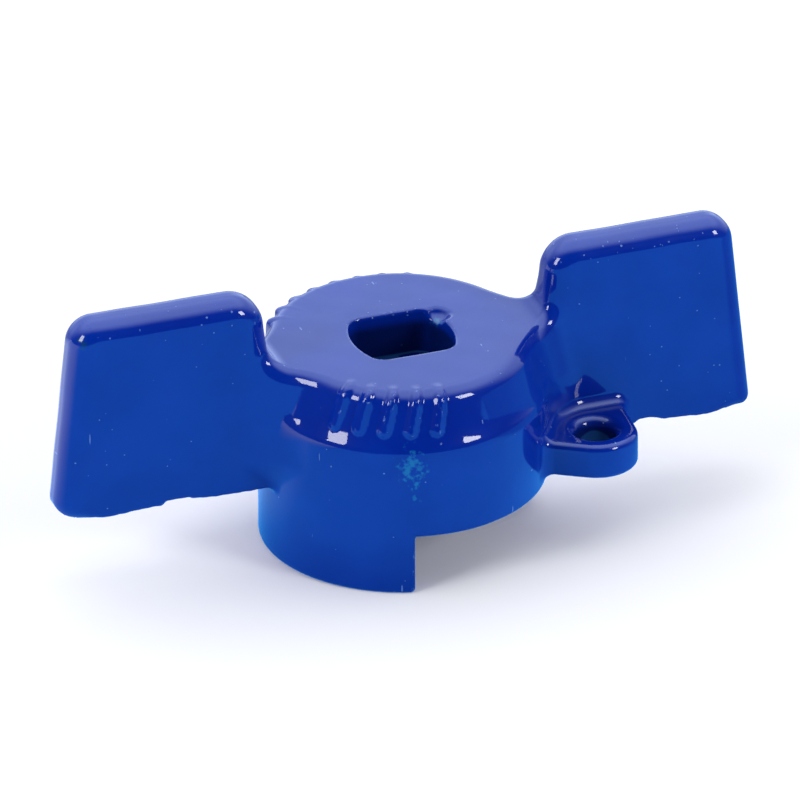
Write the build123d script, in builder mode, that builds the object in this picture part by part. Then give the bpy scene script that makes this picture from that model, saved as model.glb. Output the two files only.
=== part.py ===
"""Lockable wing handle of a quarter-turn water shutoff valve: one enamelled casting.

Frame: millimetres, +Z up along the stem axis, origin on that axis in the plane of the
skirt's bottom rim. The wings lie along X, and the padlock lug is on the +X, -Y side.
"""

import os
from math import cos, hypot, radians, sin

from build123d import *

# Hub: a cup, open below. Above a small ledge its band leans in a little, up to a flat crown.
skirt_radius = 15.0
ledge_height = 17.0
ledge_round = 0.5
band_lean = 0.6
crown_height = 22.5
crown_round = 1.9
band_foot_radius = skirt_radius - ledge_round
band_head_radius = band_foot_radius - band_lean

# Hollow under the crown, which covers the valve's stem nut and its stop.
skirt_wall = 2.6
crown_thickness = 5.1
hollow_radius = skirt_radius - skirt_wall
hollow_height = crown_height - crown_thickness

# The skirt is cut away between these two bearings, so that the handle can turn past a stop.
window_height = 6.4
window_start = -105.0
window_end = 5.0

# Wings: one tapered plate through the hub that rises past the crown on both sides.
wing_bottom = 8.4
wing_top = 29.9
tip_reach_bottom = 38.4
tip_reach_top = 35.9
root_reach_crown = 15.0
root_reach_top = 15.7
wing_thickness_bottom = 5.3
wing_thickness_top = 4.5
tip_round_top = 2.6
tip_round_bottom = 1.8
root_round_top = 3.0
root_round_crown = 2.5
wing_edge_round = 1.5
wing_blend = 2.0

# Padlock lug: an ear on the front of the right wing, against the skirt.
lug_bottom = wing_bottom
lug_top = 11.7
lug_x = 18.5
lug_y = -7.5
lug_ear_radius = 4.4
lug_root_bearing = -34.0
lug_flank_reach = 22.9
lug_edge_round = 0.7
shackle_hole_radius = 2.1
shackle_hole_round = 0.5

# Stem hole: two long flats joined by shallow arcs.
stem_flat_half = 4.5
stem_end_half = 5.5
stem_end_radius = 8.4
stem_corner_round = 0.8
stem_rim_round = 0.3

# Raised marks on the band: plain ribs that all slant alike, in an even row on each side.
mark_height = 0.5
mark_foot = 17.9
mark_head = 21.5
mark_stroke = 1.1
mark_slant = 14
mark_bearings = (-138, -127, -116, -105, -94, 66, 77, 88, 99, 110, 121, 132, 143)


def bearing(angle, radius):
    """The point at a bearing, in degrees from +X, on a circle about the stem axis."""
    return (radius * cos(radians(angle)), radius * sin(radians(angle)))


def reach(edge):
    """How far an edge's middle is from the stem axis."""
    return hypot(edge.center().X, edge.center().Y)


def band_plane(angle):
    """A plane that faces outward at a bearing, inside the band and level with its marks."""
    x, y = bearing(angle, hollow_radius)
    outward = (*bearing(angle, 1), 0)
    return Plane(origin=(x, y, (mark_foot + mark_head) / 2), x_dir=(-outward[1], outward[0], 0), z_dir=outward)


# The wing plate: its outline from the front, then its taper from the side.
with BuildPart() as wings:
    with BuildSketch(Plane.XZ) as outline:
        Polygon(
            (tip_reach_bottom, wing_bottom),
            (tip_reach_top, wing_top),
            (root_reach_top, wing_top),
            (root_reach_crown, crown_height),
            (-root_reach_crown, crown_height),
            (-root_reach_top, wing_top),
            (-tip_reach_top, wing_top),
            (-tip_reach_bottom, wing_bottom),
            align=None,
        )
        fillet(outline.vertices().group_by(Axis.Y)[0], tip_round_bottom)
        roots = outline.vertices().filter_by_position(Axis.Y, crown_height - 0.1, crown_height + 0.1)
        fillet(roots, root_round_crown)
        fillet(outline.vertices().group_by(Axis.Y)[-1].sort_by(Axis.X)[1:3], root_round_top)
        tips = outline.vertices().group_by(Axis.Y)[-1].sort_by(Axis.X)
        fillet([tips[0], tips[-1]], tip_round_top)
    extrude(amount=wing_thickness_bottom, both=True)
    with BuildSketch(Plane.YZ):
        Polygon(
            (-wing_thickness_bottom / 2, wing_bottom),
            (wing_thickness_bottom / 2, wing_bottom),
            (wing_thickness_top / 2, wing_top),
            (-wing_thickness_top / 2, wing_top),
            align=None,
        )
    extrude(amount=tip_reach_bottom, both=True, mode=Mode.INTERSECT)
    flanks = wings.faces().sort_by(Axis.Y)[0].edges() + wings.faces().sort_by(Axis.Y)[-1].edges()
    fillet(flanks.filter_by(lambda edge: edge.center().Z > wing_bottom + 0.1), wing_edge_round)

# The lug: a round ear, with straight flanks that run back into the skirt and the wing.
with BuildPart() as lug:
    with BuildSketch(Plane.XY.offset(lug_bottom)):
        with Locations((lug_x, lug_y)):
            Circle(lug_ear_radius)
        skirt_root = bearing(lug_root_bearing, hollow_radius + 1)
        wing_root = bearing(0, hollow_radius + 1)
        with Locations(skirt_root, wing_root, (lug_flank_reach, 0)):
            Circle(lug_edge_round)
        make_hull()
    extrude(amount=lug_top - lug_bottom)
    fillet(lug.edges().group_by(Axis.Z)[-1], 0.9 * lug_edge_round)

# The marks, cut back to a shell that follows the band.
with BuildPart() as marks:
    for angle in mark_bearings:
        with BuildSketch(band_plane(angle)):
            SlotOverall(mark_head - mark_foot, mark_stroke, rotation=90 + mark_slant)
        extrude(amount=skirt_radius)
    with BuildSketch(Plane.XZ):
        Polygon(
            (0, mark_foot - 1),
            (band_foot_radius + mark_height, mark_foot - 1),
            (band_head_radius + mark_height, crown_height),
            (0, crown_height),
            align=None,
        )
    revolve(axis=Axis.Z, mode=Mode.INTERSECT)

with BuildPart() as wing_handle:
    # The hub, solid at first.
    with BuildSketch(Plane.XZ):
        with BuildLine():
            ledge_start = (skirt_radius, ledge_height - ledge_round)
            ledge_end = (band_foot_radius, ledge_height)
            Polyline((0, 0), (skirt_radius, 0), ledge_start)
            RadiusArc(ledge_start, ledge_end, -ledge_round)
            Polyline(ledge_end, (band_head_radius, crown_height), (0, crown_height), (0, 0))
        make_face()
    revolve(axis=Axis.Z)
    fillet(wing_handle.edges().filter_by(GeomType.CIRCLE).sort_by(Axis.Z)[-1], crown_round)

    # The wings, blended into the skirt and the band.
    add(wings.part)
    seams = wing_handle.edges().filter_by(
        lambda edge: band_head_radius - 0.4 < reach(edge) < skirt_radius + 0.1
        and wing_bottom + 1 < edge.center().Z < crown_height - crown_round
        and 0.3 < edge.length < skirt_radius
    )
    fillet(seams, wing_blend)

    add(lug.part)
    add(marks.part)

    # The hollow below, and the window in the skirt.
    with BuildSketch(Plane.XY):
        Circle(hollow_radius)
    extrude(amount=hollow_height, mode=Mode.SUBTRACT)
    with BuildSketch(Plane.XY):
        with BuildLine():
            Line((0, 0), bearing(window_start, 2 * skirt_radius))
            CenterArc((0, 0), 2 * skirt_radius, window_start, window_end - window_start)
            Line(bearing(window_end, 2 * skirt_radius), (0, 0))
        make_face()
    extrude(amount=window_height, mode=Mode.SUBTRACT)

    # The stem hole, through the crown.
    with BuildSketch(Plane.XY.offset(crown_height)) as stem_hole:
        with Locations((stem_end_half - stem_end_radius, 0)):
            Circle(stem_end_radius)
        with Locations((stem_end_radius - stem_end_half, 0)):
            Circle(stem_end_radius, mode=Mode.INTERSECT)
        Rectangle(2 * stem_end_half, 2 * stem_flat_half, mode=Mode.INTERSECT)
        fillet(stem_hole.vertices(), stem_corner_round)
    extrude(amount=-crown_thickness, mode=Mode.SUBTRACT)
    stem_rim = wing_handle.faces().filter_by(Axis.Z).sort_by(Axis.Z)[-3:].sort_by(SortBy.AREA)[-1].inner_wires()
    fillet(stem_rim.edges(), stem_rim_round)

    # The shackle hole, through the lug.
    with Locations((lug_x, lug_y, lug_top)):
        Hole(shackle_hole_radius, lug_top)
    lug_face = wing_handle.faces().filter_by(Axis.Z).filter_by_position(Axis.Z, lug_top - 0.1, lug_top + 0.1)
    fillet(lug_face[0].inner_wires().edges(), shackle_hole_round)

wing_handle.part.label = "wing_handle"
os.makedirs("parts", exist_ok=True)
export_step(wing_handle.part, "parts/wing_handle.step")
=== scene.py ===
"""The enamelled wing handle of a lockable shutoff valve, on a pale floor in soft studio light.

The casting is drawn as one closed skin. Its shape is a distance field in millimetres, built from
the same sizes as the CAD part, with the soft corners, raised marks and mould flash that thick
enamel leaves on a casting. The skin is then pulled onto that field and covered in enamel.
"""

from math import cos, radians, sin

import bpy
import numpy as np
from mathutils import Matrix, Vector


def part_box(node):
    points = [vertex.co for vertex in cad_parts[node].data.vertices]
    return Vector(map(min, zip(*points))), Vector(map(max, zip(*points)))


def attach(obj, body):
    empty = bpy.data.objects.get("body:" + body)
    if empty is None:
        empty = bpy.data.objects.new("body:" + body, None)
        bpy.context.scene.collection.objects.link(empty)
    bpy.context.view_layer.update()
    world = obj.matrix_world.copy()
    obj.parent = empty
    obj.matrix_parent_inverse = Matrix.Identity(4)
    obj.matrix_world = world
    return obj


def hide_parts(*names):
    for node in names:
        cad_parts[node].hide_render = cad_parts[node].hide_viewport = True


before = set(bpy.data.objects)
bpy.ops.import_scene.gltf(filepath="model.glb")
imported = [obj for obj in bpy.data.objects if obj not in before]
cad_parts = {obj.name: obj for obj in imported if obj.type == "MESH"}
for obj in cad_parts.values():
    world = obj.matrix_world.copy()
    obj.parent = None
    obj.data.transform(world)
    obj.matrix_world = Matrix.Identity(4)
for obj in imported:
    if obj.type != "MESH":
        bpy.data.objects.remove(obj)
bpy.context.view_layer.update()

NODE = "wing_handle"
MM = 0.001
low_corner, high_corner = (np.array(corner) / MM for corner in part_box(NODE))

# Hub, in millimetres. Heights count up from the skirt's bottom rim. A lean or a slope is how far
# the surface moves inwards in each millimetre of height.
SKIRT_RADIUS = high_corner[1]
HOLLOW_RADIUS = 12.4
HOLLOW_HEIGHT = 17.3
HOLLOW_ROUND = 0.9
RIM_ROUND = 0.45
LEDGE_HEIGHT = 16.15
LEDGE_ROUND = 0.3
LEDGE_CREASE = 0.2
LEDGE_SLOPE = 0.58
LEDGE_STEP = 0.3
BAND_LEAN_FRONT = 0.3
BAND_LEAN_BACK = 0.08
BAND_LEAN_BY_LEFT_WING = 0.1
BESIDE_LEFT_WING = ((7, 12), (0, 6))
CROWN_HEIGHT = 22.35
CROWN_TILT = 0.03
SHOULDER_FRONT = 1.8
SHOULDER_BACK = 1.2

# Window in the skirt, between two bearings in degrees from +X.
WINDOW_HEIGHT = 6.4
WINDOW_START = -105.0
WINDOW_END = 5.0
WINDOW_ROUND = 0.5

# Wings. Each flash is a step in the bottom edge: its height, then the places along X where it
# starts, is full, starts to fade, and is gone.
WING_BOTTOM = 8.4
TOE_DROP = 0.55
WING_TOP = 30.15
RIGHT_WING_RISE = 0.007
TIP_BOTTOM = 38.4
TIP_TOP = 35.9
ROOT_CROWN = 15.0
ROOT_TOP = 15.7
WING_THICK_BOTTOM = 5.1
WING_THICK_TOP = 5.0
TIP_ROUND_TOP = 2.6
LEFT_TOE_ROUND = 2.6
RIGHT_TOE_ROUND = 1.5
ROOT_ROUND_TOP = 3.2
ROOT_ROUND_CROWN = 1.8
CROWN_EDGE_ROUND = 1.3
WING_EDGE_ROUND = 2.25
SHARP_ROUND = 0.35
SOFT_HEIGHT = 4.0
SOFT_TIP = (6.0, 1.5)
WING_EDGE_FROM = (12, 17)
WING_BLEND = 4.6
UNDERSIDE_BLEND = 1.0
LEFT_FLASH = (0.4, -27.2, -26.5, -25.5, -20.5)
RIGHT_FLASH = (0.45, 24.6, 25.6, 26.4, 28.6)
COARSE_CRUMBS = 0.03
FINE_CRUMBS = 0.02
TOE_DROP_FROM = 0.7
TOE_CLEARANCE = (1.6, 1.5)

# Padlock lug.
LUG_BOTTOM = 8.0
LUG_TOP = 11.7
LUG_CENTRE = (18.5, -7.5)
LUG_RADIUS = 4.4
LUG_EDGE_ROUND = 0.8
LUG_ROOTS = ((19.0, -2.5), (13.4, -4.2))
LUG_BLEND = 1.3
LUG_HOLE_RADIUS = 2.1
LUG_HOLE_ROUND = 1.15
LUG_HOLE_ROUND_BELOW = 0.3

# Stem hole, measured from the stem's axis, and the broken notch beside it.
STEM_FLAT = 4.5
STEM_END = 5.25
STEM_END_RADIUS = 8.4
STEM_CORNER_ROUND = 0.8
STEM_RIM_ROUND = 0.4
NOTCH_CENTRE = (4.9, 2.9)
NOTCH_RADIUS = 1.5
NOTCH_RISE = 0.55

# Raised ribs on the band, which all slant alike. A rib's side rises over MARK_SIDE, counted
# inwards from its outline, and fades in over MARK_REACH, counted outwards from the hollow.
MARK_HEIGHT = 0.42
MARK_FOOT = 17.8
MARK_HEAD = 22.3
MARK_STROKE = 0.5
MARK_LIFT = 0.5
MARK_LEAN = 0.4
MARK_SIDE = (-0.45, 0.35)
MARK_REACH = (-1.6, 0.6)
MARK_BEARINGS = (-138, -127, -116, -105, -94, 66, 77, 88, 99, 110, 121, 132, 143)

# Enamel colours, and the bearing of the stained spot on the skirt.
DEEP_BLUE = (0.0003, 0.0155, 0.25, 1)
CLEAR_BLUE = (0.0005, 0.021, 0.285, 1)
VERDIGRIS = (0.008, 0.15, 0.36, 1)
# Painted shade for the insides of the holes.
HOLE_SHADE_BLUE = (0.001, 0.006, 0.05, 1)
DARK_GREEN = (0.004, 0.045, 0.12, 1)
PALE_SCRATCH = (0.15, 0.3, 0.7, 1)
STAIN_BEARING = -106

# How strongly the marks in the enamel show, and how high its peel and specks stand in millimetres.
# An edge or a worn level is where a noise or a sharpness starts to show, and where it does in full.
STAIN_DEPTH = 0.75
STAIN_EDGE = (0.28, 0.5)
SPECK_DEPTH = 0.5
CHIP_DEPTH = 0.6
WORN_EDGE = (0.35, 0.8)
WORN_PATCH = (0.6, 0.7)
# How dark the painted shade inside the holes is.
HOLE_SHADE_DEPTH = 0.85
PEEL_HEIGHT = 0.008
SPECK_HEIGHT = 0.03
SPECKS_NEAR_TOP = 4.0

# Specks, each with its scale, stretch, share of cells, size and seed: two kinds of round dust,
# then upright and lying scratches.
SPECKS = (
    (0.6, (1, 1, 1), 0.14, 0.11, 3.0),
    (1.4, (1, 1, 1), 0.05, 0.14, 11.0),
    (0.5, (4, 4, 0.5), 0.07, 0.22, 7.0),
    (0.45, (3.4, 1, 4), 0.06, 0.22, 19.0),
)

# Where the studio is bright: a white sweep behind, and the floor behind on the left, which is bright
# only in the floor's painted reflection. The handle's painted shadow in that reflection falls the other
# way. Distances on the floor are in metres.
BRIGHT_FLOOR_BEARING = 112
BRIGHT_FLOOR_FROM = 0.01
BRIGHT_FLOOR_FULL = 0.05
SHADOW_BEARING = 50
SWEEP_BEARING = 70
SWEEP_ELEVATION = 50
FILL_ELEVATION = 22

# How the light changes with place: where the change starts and ends, then the strength at each. On the
# floor it is painted shade under the hub and a painted shadow in the floor's painted reflection, and
# the place is counted in skirt radii. In the room it is how squarely a ray points at the place named.
UNDER_HUB = (0.8, 1.9, 0.45, 1.0)
IN_SHADOW = (0.3, 2, 1.0, 0.4)
FILL_AROUND_CAMERA = (0.25, 0.9, 1.35, 0.05)
SWEEP_SPREAD = (0.1, 0.7, 0.0, 1.0)
OVERHEAD = (0.47, 0.85, 1.0, 1.8)

# What the gloss mirrors. The two floor colours are a painted reflection: the floor glows with them to
# glossy rays only. Deep blue enamel soaks up the red in a weak reflection.
SWEEP = (1.2, 1.5, 2.2, 1)
BRIGHT_FLOOR = (1.1, 1.3, 1.75, 1)
DIM_FLOOR = (0.1, 0.75, 2.1, 1)
DIM_ROOM = (0.01, 0.02, 0.04, 1)

# The camera: its bearing and height seen from the handle, its roll, in degrees; its distance from
# the point it looks at, in metres; and its lens.
CAMERA_BEARING = -110.05
CAMERA_ELEVATION = 27.21
CAMERA_ROLL = -0.19
CAMERA_DISTANCE = 0.9668
CAMERA_TARGET = (-0.0002, 0.0001, 0.01464)
CAMERA_LENS = 421.5

# The two softboxes: name, bearing, elevation, distance, width, height and power.
SOFTBOXES = (
    ("left_softbox", -163, 28, 0.7, 0.2, 0.26, 1.9),
    ("right_softbox", -53, 27, 0.7, 0.17, 0.2, 1.6),
)
FLOOR_REACH = 3.0
FLOOR_WHITE = (0.92, 0.93, 0.95, 1)
FILL_LIGHT = (0.96, 0.97, 1.0, 1)

# How finely the skin is cut, how far its surface waves and from what height it does so in full,
# and a distance that counts as far off, all in millimetres. The field is worked out in blocks of
# cells, a chunk of points at a time.
SKIN_STEP = 0.25
RIPPLE = 0.012
RIPPLE_FULL_AT = 1.5
FAR = 9.0
BLOCK = 8
CHUNK = 400000
SETTLE_ROUNDS = 3


def round_and(a, b, radius):
    """The part inside both fields, with the edge between them rounded."""
    reach_a = np.maximum(a + radius, 0)
    reach_b = np.maximum(b + radius, 0)
    return np.minimum(np.maximum(a, b), -radius) + np.hypot(reach_a, reach_b)


def round_or(a, b, radius):
    """The part inside either field, with a fillet in the corner between them."""
    return -round_and(-a, -b, radius)


def ramp(value, start, end):
    """0 before start, 1 after end, and a smooth step between."""
    t = np.clip((value - start) / (end - start), 0, 1)
    return t * t * (3 - 2 * t)


def blend(low, high, share):
    """A value between low and high."""
    return low + (high - low) * share


def past_line(u, v, start, end):
    """Distance to the right of the line from start to end, in the plane of u and v."""
    along_u, along_v = end[0] - start[0], end[1] - start[1]
    length = np.hypot(along_u, along_v)
    return ((u - start[0]) * along_v - (v - start[1]) * along_u) / length


def capsule(u, v, start, end, radius):
    """Distance to a round-ended stroke from start to end."""
    along = np.subtract(end, start)
    t = ((u - start[0]) * along[0] + (v - start[1]) * along[1]) / (along @ along)
    t = np.clip(t, 0, 1)
    return np.hypot(u - start[0] - t * along[0], v - start[1] - t * along[1]) - radius


def raised_marks(x, y, z):
    """How far the plain ribs on the band stand out."""
    middle = (MARK_FOOT + MARK_HEAD) / 2
    half = (MARK_HEAD - MARK_FOOT) / 2 - MARK_STROKE
    stroke = np.full_like(z, FAR)

    def across(bearing):
        """Arc length from a bearing, along the band."""
        turn = np.arctan2(y, x) - radians(bearing)
        return (SKIRT_RADIUS - LEDGE_STEP) * (np.mod(turn + np.pi, 2 * np.pi) - np.pi)

    for bearing in MARK_BEARINGS:
        foot, head = (-MARK_LEAN, middle - half), (MARK_LEAN, middle + half)
        rib = capsule(across(bearing), z, foot, head, MARK_STROKE)
        stroke = np.minimum(stroke, rib)
    near_band = ramp(np.hypot(x, y), HOLLOW_RADIUS + MARK_REACH[0], HOLLOW_RADIUS + MARK_REACH[1])
    return MARK_HEIGHT * ramp(-stroke, *MARK_SIDE) * near_band


def wing_thickness(z):
    """The plate's thickness, which tapers towards the top."""
    rise = (z - WING_BOTTOM) / (WING_TOP - WING_BOTTOM)
    return WING_THICK_BOTTOM + rise * (WING_THICK_TOP - WING_THICK_BOTTOM)


def underside(x, y):
    """The wings' bottom edge: nearly straight, with the steps and crumbs of mould flash."""
    bottom = WING_BOTTOM - TOE_DROP * ramp(np.abs(x), TOE_DROP_FROM * TIP_BOTTOM, TIP_BOTTOM)
    for height, start, full, fade, gone in (LEFT_FLASH, RIGHT_FLASH):
        bottom += height * ramp(x, start, full) * (1 - ramp(x, fade, gone))
    near_face = np.clip(2 * np.abs(y) / WING_THICK_BOTTOM, 0, 1) ** 2
    crumbs = COARSE_CRUMBS * np.sin(2.3 * x + y) * np.sin(0.9 * x + 1)
    crumbs += FINE_CRUMBS * np.sin(5.1 * x + y + 2)
    return bottom + crumbs * near_face


def body(x, y, z):
    """Hub and wings as one solid, before anything is cut out of it."""
    side = np.abs(x)
    radius = np.hypot(x, y)
    marks = raised_marks(x, y, z)
    front = ramp(-y, -SKIRT_RADIUS, SKIRT_RADIUS)
    lean = blend(BAND_LEAN_BACK, BAND_LEAN_FRONT, front)
    beside_wing = ramp(-x, *BESIDE_LEFT_WING[0]) * ramp(-y, *BESIDE_LEFT_WING[1])
    lean += BAND_LEAN_BY_LEFT_WING * beside_wing
    shoulder = blend(SHOULDER_BACK, SHOULDER_FRONT, front)
    ledge_foot = (SKIRT_RADIUS, LEDGE_HEIGHT)
    ledge = past_line(radius, z, ledge_foot, (SKIRT_RADIUS - LEDGE_SLOPE, LEDGE_HEIGHT + 1))
    skirt = round_and(radius - SKIRT_RADIUS, ledge, LEDGE_ROUND)
    band = radius - SKIRT_RADIUS + LEDGE_STEP + lean * np.clip(z - LEDGE_HEIGHT, 0, None) - marks
    hub = round_or(skirt, band, LEDGE_CREASE)
    hub = round_and(hub, z - CROWN_HEIGHT - shoulder, shoulder)

    bottom = underside(x, y)
    slab = round_and(np.abs(y) - wing_thickness(z) / 2, bottom - z, SHARP_ROUND)
    fillet = blend(UNDERSIDE_BLEND, WING_BLEND, ramp(z, WING_BOTTOM, WING_BOTTOM + SOFT_HEIGHT))
    plan = round_or(hub, slab, fillet)

    root = -past_line(side, z, (ROOT_CROWN, CROWN_HEIGHT), (ROOT_TOP, WING_TOP))
    ear = round_and(root, z - WING_TOP - RIGHT_WING_RISE * np.clip(x, 0, None), ROOT_ROUND_TOP)
    crown = z - CROWN_HEIGHT - CROWN_TILT * y - MARK_LIFT * marks
    skyline = round_or(ear, crown, ROOT_ROUND_CROWN)
    tip = past_line(side, z, (TIP_BOTTOM, WING_BOTTOM), (TIP_TOP, WING_TOP))
    skyline = round_and(skyline, tip, TIP_ROUND_TOP)
    clear_of_skirt = TOE_CLEARANCE[1] * np.clip(TOE_CLEARANCE[0] * SKIRT_RADIUS - side, 0, None)
    toe_round = np.where(x < 0, LEFT_TOE_ROUND, RIGHT_TOE_ROUND)
    skyline = round_and(skyline, bottom - z - clear_of_skirt, toe_round)
    soft_up = ramp(z, WING_BOTTOM + 0.3, WING_BOTTOM + SOFT_HEIGHT)
    soft_out = ramp(side, TIP_BOTTOM - SOFT_TIP[0], TIP_BOTTOM - SOFT_TIP[1])
    edge_round = blend(CROWN_EDGE_ROUND, WING_EDGE_ROUND, ramp(side, *WING_EDGE_FROM))
    return round_and(plan, skyline, blend(SHARP_ROUND, edge_round, np.maximum(soft_up, soft_out)))


def lug(x, y, z):
    """The padlock ear in the corner between the skirt and the right wing."""
    plan = np.minimum(*(capsule(x, y, LUG_CENTRE, root, LUG_RADIUS) for root in LUG_ROOTS))
    plate = round_and(plan, LUG_BOTTOM - z, SHARP_ROUND)
    return round_and(plate, z - LUG_TOP, LUG_EDGE_ROUND)


def hollow(x, y, z):
    """The cup under the crown, and the cut in its skirt."""
    cup = round_and(np.hypot(x, y) - HOLLOW_RADIUS, z - HOLLOW_HEIGHT, HOLLOW_ROUND)
    start, end = radians(WINDOW_START), radians(WINDOW_END)
    after_start = x * sin(start) - y * cos(start)
    before_end = y * cos(end) - x * sin(end)
    window = np.maximum(np.maximum(after_start, before_end), z - WINDOW_HEIGHT)
    return cup, window


def stem_hole(x, y):
    """The flatted hole through the crown."""
    offset = STEM_END_RADIUS - STEM_END
    ends = np.maximum(np.hypot(x + offset, y), np.hypot(x - offset, y)) - STEM_END_RADIUS
    return round_and(np.abs(y) - STEM_FLAT, ends, STEM_CORNER_ROUND)


def casting(points):
    """The whole casting's field at an array of points: below 0 inside, about 1 per millimetre."""
    x, y, z = points[..., 0], points[..., 1], points[..., 2]
    field = round_or(body(x, y, z), lug(x, y, z), LUG_BLEND)
    cup, window = hollow(x, y, z)
    field = round_and(field, -cup, RIM_ROUND)
    field = round_and(field, -window, WINDOW_ROUND)
    field = round_and(field, -z, RIM_ROUND)
    field = round_and(field, -stem_hole(x, y), STEM_RIM_ROUND)
    notch_side = np.hypot(x - NOTCH_CENTRE[0], y - NOTCH_CENTRE[1])
    notch = np.hypot(notch_side, z - CROWN_HEIGHT - NOTCH_RISE) - NOTCH_RADIUS
    field = round_and(field, -notch, STEM_RIM_ROUND)
    hole = np.hypot(x - LUG_CENTRE[0], y - LUG_CENTRE[1]) - LUG_HOLE_RADIUS
    hole = np.where(z < LUG_TOP + 2, hole, FAR)
    hole_round = np.where(z > (LUG_BOTTOM + LUG_TOP) / 2, LUG_HOLE_ROUND, LUG_HOLE_ROUND_BELOW)
    field = round_and(field, -hole, hole_round)
    ripple = np.sin(0.9 * x + 0.3 * z + 0.4) * np.sin(1.1 * y + 0.5 * z + 1.3)
    ripple += np.sin(0.7 * z + 0.5 * x)
    return field + RIPPLE * ripple * ramp(z, 0, RIPPLE_FULL_AT)


def slope(points, reach=0.02):
    """The field's gradient, by central differences."""
    result = np.empty_like(points)
    for axis in range(3):
        step = np.zeros(3)
        step[axis] = reach
        result[:, axis] = (casting(points + step) - casting(points - step)) / (2 * reach)
    return result


def sample_field(corner, counts, step):
    """The field on a grid. Blocks far from the surface keep only their sign."""
    blocks = [-(-count // BLOCK) for count in counts]
    centres = [corner[axis] + step * BLOCK * (np.arange(blocks[axis]) + 0.5) for axis in range(3)]
    field = casting(np.stack(np.meshgrid(*centres, indexing="ij"), -1))
    near = np.abs(field) < 1.6 * step * BLOCK
    for axis in range(3):
        field = np.repeat(field, BLOCK, axis)
        near = np.repeat(near, BLOCK, axis)
    places = np.argwhere(near)
    values = np.empty(len(places))
    for start in range(0, len(places), CHUNK):
        chunk = slice(start, start + CHUNK)
        values[chunk] = casting(corner + step * places[chunk])
    field[near] = values
    return field


def surface_net(field, corner, step):
    """Vertices and quads where the field changes sign: one vertex in each cell it passes through."""
    inside = field < 0
    cells = tuple(size - 1 for size in field.shape)
    total = np.zeros(cells + (3,))
    count = np.zeros(cells)
    for axis in range(3):
        others = [other for other in range(3) if other != axis]
        for shift_a in (0, 1):
            for shift_b in (0, 1):
                first = [slice(None)] * 3
                first[axis] = slice(0, cells[axis])
                first[others[0]] = slice(shift_a, shift_a + cells[others[0]])
                first[others[1]] = slice(shift_b, shift_b + cells[others[1]])
                second = list(first)
                second[axis] = slice(1, cells[axis] + 1)
                value_a, value_b = field[tuple(first)], field[tuple(second)]
                cross = (value_a < 0) != (value_b < 0)
                place = np.zeros(cells + (3,))
                place[..., axis] = value_a / np.where(cross, value_a - value_b, 1)
                place[..., others[0]] = shift_a
                place[..., others[1]] = shift_b
                total += place * cross[..., None]
                count += cross
    active = count > 0
    index = np.full(cells, -1)
    index[active] = np.arange(active.sum())
    vertices = corner + step * (np.argwhere(active) + total[active] / count[active][:, None])

    quads = []
    for axis in range(3):
        others = [(axis + 1) % 3, (axis + 2) % 3]
        first = [slice(None)] * 3
        first[axis] = slice(0, cells[axis])
        second = [slice(None)] * 3
        second[axis] = slice(1, cells[axis] + 1)
        leaving = inside[tuple(first)] & ~inside[tuple(second)]
        entering = ~inside[tuple(first)] & inside[tuple(second)]
        for crossing, turn in ((leaving, 1), (entering, -1)):
            places = np.argwhere(crossing)
            ring = []
            for shift_a, shift_b in ((-1, -1), (0, -1), (0, 0), (-1, 0))[::turn]:
                cell = places.copy()
                cell[:, others[0]] += shift_a
                cell[:, others[1]] += shift_b
                ring.append(index[tuple(cell.T)])
            quads.append(np.stack(ring, 1))
    return vertices, np.concatenate(quads)


def settle(vertices, quads, rounds):
    """Evens out the net along the surface, and puts every vertex on it."""
    edges = np.concatenate([quads[:, [k, (k + 1) % 4]] for k in range(4)])
    valence = np.bincount(edges.ravel(), minlength=len(vertices))
    for _ in range(rounds):
        centre = np.zeros_like(vertices)
        for axis in range(3):
            centre[:, axis] = np.bincount(edges[:, 0], vertices[edges[:, 1], axis], len(vertices))
            centre[:, axis] += np.bincount(edges[:, 1], vertices[edges[:, 0], axis], len(vertices))
        centre /= valence[:, None]
        vertices = vertices + 0.5 * (centre - vertices)
        for _ in range(2):
            rise = slope(vertices)
            steepness = np.maximum((rise * rise).sum(1), 0.25)
            move = (casting(vertices) / steepness)[:, None] * rise
            vertices = vertices - np.clip(move, -SKIN_STEP / 2, SKIN_STEP / 2)
    return vertices


def edge_sharpness(vertices, reach=0.3):
    """1 on sharp outer edges, 0 on flat, hollow or gently rounded places."""
    around = -6 * casting(vertices)
    for axis in range(3):
        step = np.zeros(3)
        step[axis] = reach
        around += casting(vertices + step) + casting(vertices - step)
    return ramp(around / reach, 0.1, 0.8)


def casting_skin():
    """The casting as one closed mesh object, in metres."""
    margin = 4 * SKIN_STEP
    corner = low_corner - margin + 0.37 * SKIN_STEP
    counts = np.ceil((high_corner + margin - corner) / SKIN_STEP).astype(int) + 1
    vertices, quads = surface_net(sample_field(corner, counts, SKIN_STEP), corner, SKIN_STEP)
    vertices = settle(vertices, quads, SETTLE_ROUNDS)
    mesh = bpy.data.meshes.new("casting_skin")
    mesh.from_pydata((vertices * MM).tolist(), [], quads.tolist())
    mesh.validate()
    mesh.shade_smooth()
    rise = slope(vertices)
    mesh.normals_split_custom_set_from_vertices(rise / np.linalg.norm(rise, axis=1)[:, None])
    edge = mesh.attributes.new("edge", "FLOAT", "POINT")
    edge.data.foreach_set("value", edge_sharpness(vertices).astype(np.float32))
    skin = bpy.data.objects.new("casting_skin", mesh)
    bpy.context.scene.collection.objects.link(skin)
    return skin


def direction(bearing, elevation):
    """A unit vector at a bearing from +X and an elevation above the floor, in degrees."""
    turn, rise = radians(bearing), radians(elevation)
    return Vector((cos(rise) * cos(turn), cos(rise) * sin(turn), sin(rise)))


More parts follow.
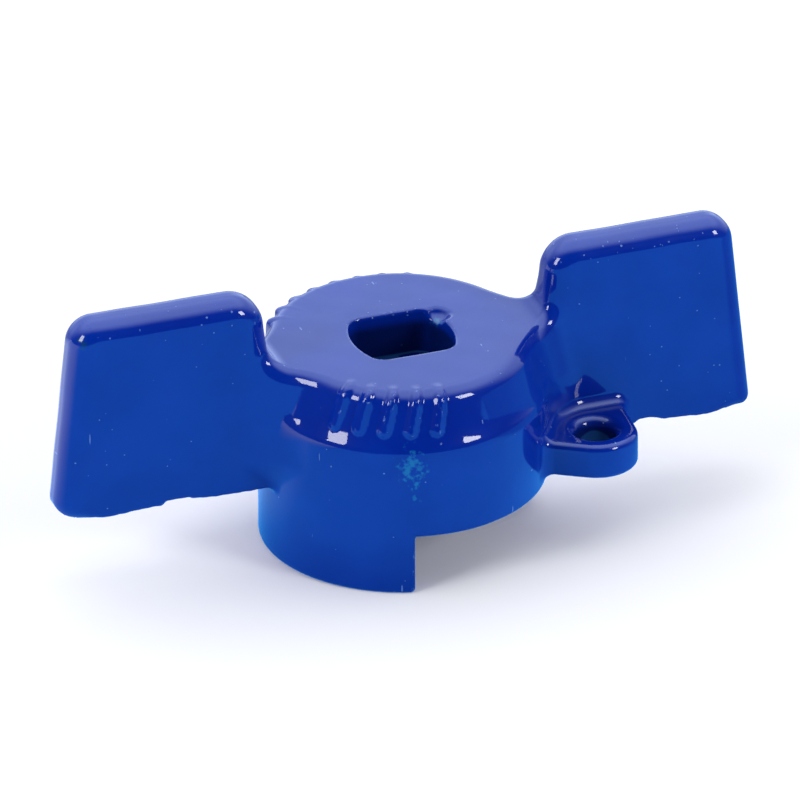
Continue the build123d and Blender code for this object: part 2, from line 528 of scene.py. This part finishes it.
def new_material(name):
    """An empty node material and a helper that adds nodes to it."""
    material = bpy.data.materials.new(name)
    material.use_nodes = True
    tree = material.node_tree
    tree.nodes.clear()

    def add(kind, inputs=None, **settings):
        node = tree.nodes.new(kind)
        for key, value in settings.items():
            setattr(node, key, value)
        for key, value in (inputs or {}).items():
            if isinstance(value, bpy.types.NodeSocket):
                tree.links.new(value, node.inputs[key])
            else:
                node.inputs[key].default_value = value
        return node

    return material, add


def enamel():
    """Thick glossy blue enamel, with peel, dust nibs, scratches, a few verdigris stains, and painted
    shade down its holes.
    """
    material, add = new_material("blue_enamel")
    coords = add("ShaderNodeTexCoord").outputs["Object"]
    mm = add("ShaderNodeVectorMath", {0: coords, "Scale": 1 / MM}, operation="SCALE").outputs[0]

    def maths(operation, *values):
        inputs = dict(enumerate(values))
        return add("ShaderNodeMath", inputs, operation=operation).outputs[0]

    def between(value, start, end):
        ranges = {"Value": value, "From Min": start, "From Max": end}
        return add("ShaderNodeMapRange", ranges, interpolation_type="SMOOTHSTEP").outputs[0]

    def mixed(factor, first, second):
        return add("ShaderNodeMix", {0: factor, 6: first, 7: second}, data_type="RGBA").outputs[2]

    level = add("ShaderNodeSeparateXYZ", {0: mm}).outputs[2]
    near_top = between(level, WING_TOP - 2.2, WING_TOP - 1.2)
    crowding = maths("ADD", 1.0, maths("MULTIPLY", near_top, SPECKS_NEAR_TOP))

    def specks(scale, stretch, share, size, seed):
        """A sparse scatter of little dots, or of short strokes where the space is stretched."""
        shift = {"Location": (seed, seed / 3, 0), "Scale": stretch}
        place = add("ShaderNodeMapping", {"Vector": mm, **shift}).outputs[0]
        cells = add("ShaderNodeTexVoronoi", {"Vector": place, "Scale": scale})
        draw = add("ShaderNodeSeparateColor", {0: cells.outputs["Color"]}).outputs
        chosen = maths("LESS_THAN", draw[0], maths("MULTIPLY", crowding, share))
        reach = maths("MULTIPLY", draw[1], size)
        dot = between(maths("SUBTRACT", reach, cells.outputs["Distance"]), 0.0, 0.05)
        return maths("MULTIPLY", dot, chosen)

    def stain(centre, radius, lift):
        """A ragged patch around one place on the casting."""
        gap = add("ShaderNodeVectorMath", {0: mm, 1: centre}, operation="SUBTRACT").outputs[0]
        gap = add("ShaderNodeVectorMath", {0: gap, 1: (1, 1, lift)}, operation="MULTIPLY").outputs[0]
        far = add("ShaderNodeVectorMath", {0: gap}, operation="LENGTH").outputs["Value"]
        ragged = add("ShaderNodeTexNoise", {"Vector": mm, "Scale": 1.6, "Detail": 4.0}).outputs["Fac"]
        return between(maths("SUBTRACT", ragged, maths("DIVIDE", far, 4 * radius)), *STAIN_EDGE)

    def hole_shade(centre, radius, top):
        """Painted shade down a hole, from a little below its mouth."""
        gap = add("ShaderNodeVectorMath", {0: mm, 1: (*centre, 0)}, operation="SUBTRACT").outputs[0]
        gap = add("ShaderNodeVectorMath", {0: gap, 1: (1, 1, 0)}, operation="MULTIPLY").outputs[0]
        reach = add("ShaderNodeVectorMath", {0: gap}, operation="LENGTH").outputs["Value"]
        return maths("MULTIPLY", between(reach, radius + 0.8, radius), between(level, top, top - 1.2))

    mottle = add("ShaderNodeTexNoise", {"Vector": mm, "Scale": 0.13, "Detail": 4.0}).outputs["Fac"]
    colour = mixed(between(mottle, 0.3, 0.7), DEEP_BLUE, CLEAR_BLUE)
    front = direction(STAIN_BEARING, 0) * SKIRT_RADIUS
    skirt_stain = stain((front.x, front.y, 14.9), 1.4, 0.7)
    streak = stain((front.x + 0.3, front.y, 12.4), 0.5, 0.3)
    tip_stain = stain((-35.0, -2.0, 28.3), 1.0, 1.5)
    notch_stain = stain((NOTCH_CENTRE[0], NOTCH_CENTRE[1], CROWN_HEIGHT - 0.8), 0.9, 1.0)
    stains = (
        (skirt_stain, VERDIGRIS), (streak, VERDIGRIS),
        (tip_stain, DARK_GREEN), (notch_stain, VERDIGRIS),
    )
    for patch, shade in stains:
        colour = mixed(maths("MULTIPLY", patch, STAIN_DEPTH), colour, shade)
    marks = specks(*SPECKS[0])
    for kind in SPECKS[1:]:
        marks = maths("MAXIMUM", marks, specks(*kind))
    wear = add("ShaderNodeAttribute", attribute_name="edge").outputs["Fac"]
    patchy = add("ShaderNodeTexNoise", {"Vector": mm, "Scale": 2.2, "Detail": 3.0}).outputs["Fac"]
    chipped = maths("MULTIPLY", between(wear, *WORN_EDGE), between(patchy, *WORN_PATCH))
    marks = maths("MAXIMUM", marks, maths("MULTIPLY", chipped, CHIP_DEPTH))
    colour = mixed(maths("MULTIPLY", marks, SPECK_DEPTH), colour, PALE_SCRATCH)
    # Painted shade down the stem hole and the lug hole: the enamel turns darker there, and its coat
    # thinner.
    stem_hole_shade = hole_shade((0, 0), STEM_END + 0.3, CROWN_HEIGHT - 0.6)
    lug_hole_shade = hole_shade(LUG_CENTRE, LUG_HOLE_RADIUS + 0.2, LUG_TOP - 0.2)
    painted_shade = maths("MULTIPLY", maths("MAXIMUM", stem_hole_shade, lug_hole_shade), HOLE_SHADE_DEPTH)
    colour = mixed(painted_shade, colour, HOLE_SHADE_BLUE)

    peel = add("ShaderNodeTexNoise", {"Vector": mm, "Scale": 0.4, "Detail": 2.0}).outputs["Fac"]
    height = maths("ADD", maths("MULTIPLY", peel, PEEL_HEIGHT), maths("MULTIPLY", marks, SPECK_HEIGHT))
    bump = add("ShaderNodeBump", {"Height": height, "Strength": 1.0, "Distance": MM}).outputs[0]
    smear = add("ShaderNodeTexNoise", {"Vector": mm, "Scale": 0.25, "Detail": 5.0}).outputs["Fac"]
    gloss = maths("ADD", maths("MULTIPLY", between(smear, 0.45, 0.8), 0.08), 0.035)
    # Thinner coat where the painted shade is, so the holes mirror less.
    coat = maths("SUBTRACT", 1.0, maths("MULTIPLY", painted_shade, 0.6))
    shader = add("ShaderNodeBsdfPrincipled", {
        "Base Color": colour, "Roughness": 0.35, "Specular IOR Level": 0.02, "Normal": bump,
        "Coat Weight": coat, "Coat Roughness": gloss, "Coat IOR": 1.5, "Coat Normal": bump,
    })
    add("ShaderNodeOutputMaterial", {"Surface": shader.outputs[0]})
    return material


def floor():
    """A wide white floor, clear from below. To glossy rays it glows instead, a painted reflection whose
    front half mirrors dimly in the enamel, with painted shade under the hub and a painted shadow.
    """
    mesh = bpy.data.meshes.new("floor")
    corners = [(FLOOR_REACH * u, FLOOR_REACH * v, 0) for u, v in ((-1, -1), (1, -1), (1, 1), (-1, 1))]
    mesh.from_pydata(corners, [], [(0, 1, 2, 3)])
    plane = bpy.data.objects.new("floor", mesh)
    plane.location.z = low_corner[2] * MM
    bpy.context.scene.collection.objects.link(plane)
    material, add = new_material("pale_floor")
    paint = add("ShaderNodeBsdfDiffuse", {"Color": FLOOR_WHITE}).outputs[0]
    coords = add("ShaderNodeTexCoord").outputs["Object"]

    def towards(bearing):
        """How far a point on the floor lies towards a bearing."""
        inputs = {0: coords, 1: direction(bearing, 0)}
        return add("ShaderNodeVectorMath", inputs, operation="DOT_PRODUCT").outputs["Value"]

    def shaded(distance, start, end, low, high):
        """Painted shade in the floor's glow: a brightness that goes from low to high between two
        distances, in skirt radii.
        """
        radius = SKIRT_RADIUS * MM
        return add("ShaderNodeMapRange", {
            "Value": distance, "From Min": start * radius, "From Max": end * radius,
            "To Min": low, "To Max": high,
        }, interpolation_type="SMOOTHSTEP").outputs[0]

    # The painted reflection's colour: dim in front, bright behind on the left.
    behind = add("ShaderNodeMapRange", {
        "Value": towards(BRIGHT_FLOOR_BEARING),
        "From Min": BRIGHT_FLOOR_FROM, "From Max": BRIGHT_FLOOR_FULL,
    }).outputs[0]
    colours = {0: behind, 6: DIM_FLOOR, 7: BRIGHT_FLOOR}
    painted_reflection_colour = add("ShaderNodeMix", colours, data_type="RGBA").outputs[2]
    # Painted shade under the hub and a painted shadow beside it, dimming the glow.
    far = add("ShaderNodeVectorMath", {0: coords}, operation="LENGTH").outputs["Value"]
    painted_shade_under_hub = shaded(far, *UNDER_HUB)
    painted_shadow = shaded(towards(SHADOW_BEARING), *IN_SHADOW)
    strength = add("ShaderNodeMath", {0: painted_shade_under_hub, 1: painted_shadow}, operation="MULTIPLY").outputs[0]
    # The painted reflection: a glow that only glossy rays see.
    mirrored = add("ShaderNodeEmission", {"Color": painted_reflection_colour, "Strength": strength}).outputs[0]
    glossy = add("ShaderNodeLightPath").outputs["Is Glossy Ray"]
    surface = add("ShaderNodeMixShader", {0: glossy, 1: paint, 2: mirrored}).outputs[0]
    from_below = add("ShaderNodeNewGeometry").outputs["Backfacing"]
    clear = add("ShaderNodeBsdfTransparent").outputs[0]
    surface = add("ShaderNodeMixShader", {0: from_below, 1: surface, 2: clear}).outputs[0]
    add("ShaderNodeOutputMaterial", {"Surface": surface})
    mesh.materials.append(material)
    return plane


def softbox(name, bearing, elevation, distance, width, height, power):
    """A rectangular light that faces the handle."""
    data = bpy.data.lights.new(name, "AREA")
    data.shape = "RECTANGLE"
    data.size = width
    data.size_y = height
    data.energy = power
    light = bpy.data.objects.new(name, data)
    away = direction(bearing, elevation)
    light.location = away * distance
    light.rotation_euler = away.to_track_quat("Z", "Y").to_euler()
    bpy.context.scene.collection.objects.link(light)


def studio():
    """A white sweep behind and above the handle, and two softboxes in a dim room.

    The gloss mirrors the sweep and the dim room. The softer light that fills the shadows comes
    from all around, and most from behind.
    """
    for settings in SOFTBOXES:
        softbox(*settings)
    world = bpy.data.worlds.new("studio")
    bpy.context.scene.world = world
    world.use_nodes = True
    nodes, links = world.node_tree.nodes, world.node_tree.links
    coords = nodes.new("ShaderNodeTexCoord")

    def level(centre, start, end, low, high):
        """A strength that goes from low to high as a ray turns towards a direction."""
        facing = nodes.new("ShaderNodeVectorMath")
        facing.operation = "DOT_PRODUCT"
        facing.inputs[1].default_value = centre
        links.new(coords.outputs["Generated"], facing.inputs[0])
        ranged = nodes.new("ShaderNodeMapRange")
        ranged.interpolation_type = "SMOOTHSTEP"
        for socket, value in zip(("From Min", "From Max", "To Min", "To Max"), (start, end, low, high)):
            ranged.inputs[socket].default_value = value
        links.new(facing.outputs["Value"], ranged.inputs["Value"])
        return ranged.outputs[0]

    fill = level(direction(CAMERA_BEARING, FILL_ELEVATION), *FILL_AROUND_CAMERA)
    soft = nodes["Background"]
    soft.inputs["Color"].default_value = FILL_LIGHT
    links.new(fill, soft.inputs["Strength"])
    mirrored = nodes.new("ShaderNodeMix")
    mirrored.data_type = "RGBA"
    sweep = level(direction(SWEEP_BEARING, SWEEP_ELEVATION), *SWEEP_SPREAD)
    links.new(sweep, mirrored.inputs[0])
    mirrored.inputs[6].default_value = DIM_ROOM
    mirrored.inputs[7].default_value = SWEEP
    glossy = nodes.new("ShaderNodeBackground")
    links.new(level((0, 0, 1), *OVERHEAD), glossy.inputs["Strength"])
    links.new(mirrored.outputs[2], glossy.inputs["Color"])
    chosen = nodes.new("ShaderNodeMixShader")
    links.new(nodes.new("ShaderNodeLightPath").outputs["Is Glossy Ray"], chosen.inputs[0])
    links.new(soft.outputs[0], chosen.inputs[1])
    links.new(glossy.outputs[0], chosen.inputs[2])
    links.new(chosen.outputs[0], nodes["World Output"].inputs["Surface"])


def camera():
    """A long lens, from the front left and above."""
    data = bpy.data.cameras.new("camera")
    data.lens = CAMERA_LENS
    data.clip_end = 20
    view = bpy.data.objects.new("camera", data)
    back = direction(CAMERA_BEARING, CAMERA_ELEVATION)
    view.location = Vector(CAMERA_TARGET) + back * CAMERA_DISTANCE
    roll = Matrix.Rotation(radians(CAMERA_ROLL), 3, "Z")
    view.rotation_euler = (back.to_track_quat("Z", "Y").to_matrix() @ roll).to_euler()
    bpy.context.scene.collection.objects.link(view)
    bpy.context.scene.camera = view


skin = casting_skin()
skin.data.materials.append(enamel())
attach(skin, "root")
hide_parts(NODE)
floor()
studio()
camera()
bpy.context.scene.view_settings.view_transform = "Standard"
